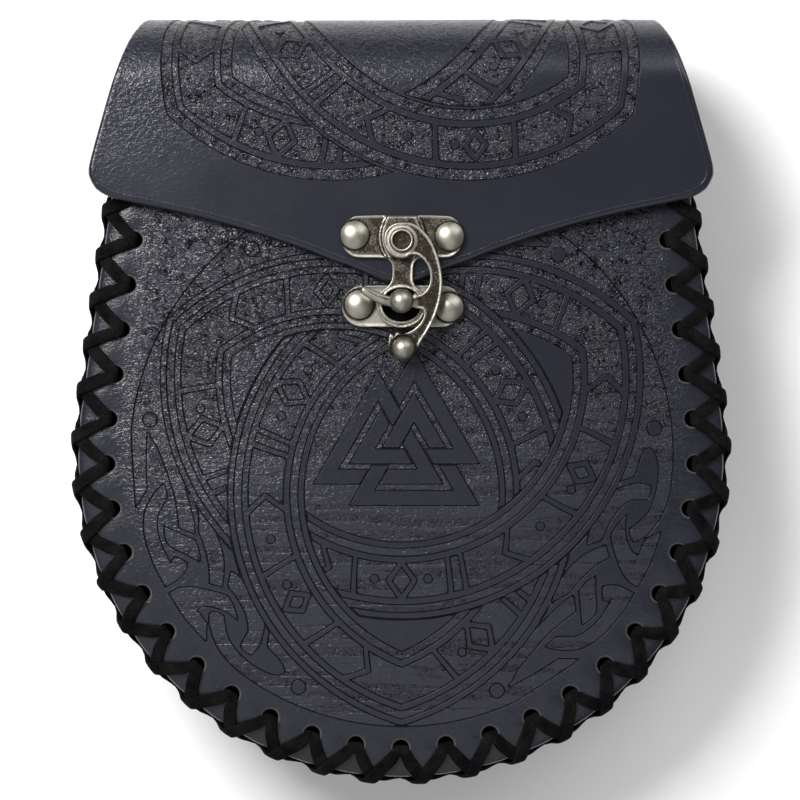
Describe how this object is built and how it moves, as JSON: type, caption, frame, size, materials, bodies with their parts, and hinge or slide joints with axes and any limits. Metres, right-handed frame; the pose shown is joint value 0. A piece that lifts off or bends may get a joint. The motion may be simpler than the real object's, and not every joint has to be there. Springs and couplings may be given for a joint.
{
  "type": "belt pouch",
  "caption": "Round-bottomed leather belt pouch with an embossed front, a V-shaped flap, laced edges, a swing clasp and belt loops.",
  "frame": {"origin": "under the middle of the pouch's outline, on the surface that it lies on", "axes": "+Z out of the front, +Y towards the top fold, +X to the right as seen from the front"},
  "size_m": [0.1642, 0.1918, 0.0591],
  "materials": {
    "leather": "satin, embossed",
    "lace": "matt suede",
    "metal": "aged, dark in the recesses"
  },
  "bodies": {
    "pouch": {"front_panel": "leather", "gusset": "leather", "back_and_flap": "leather", "belt_loop_left": "leather", "belt_loop_right": "leather", "front_lace": "lace", "back_lace": "lace", "upper_plate": "metal", "lower_plate": "metal", "keeper_post": "metal", "pivot_rivet": "metal", "upper_rivet_left": "metal", "upper_rivet_right": "metal", "lower_rivet_left": "metal", "lower_rivet_right": "metal", "loop_rivet_top_left": "metal", "loop_rivet_low_left": "metal", "loop_rivet_top_right": "metal", "loop_rivet_low_right": "metal"},
    "hook": {"swing_hook": "metal"}
  },
  "joints": [
    {"name": "hook_swing", "type": "hinge", "parent": "pouch", "child": "hook", "pos_m": [0.0002, 0.0393, 0.05375], "axis": [0, 0, 1], "range_deg": [0, 100]}
  ]
}
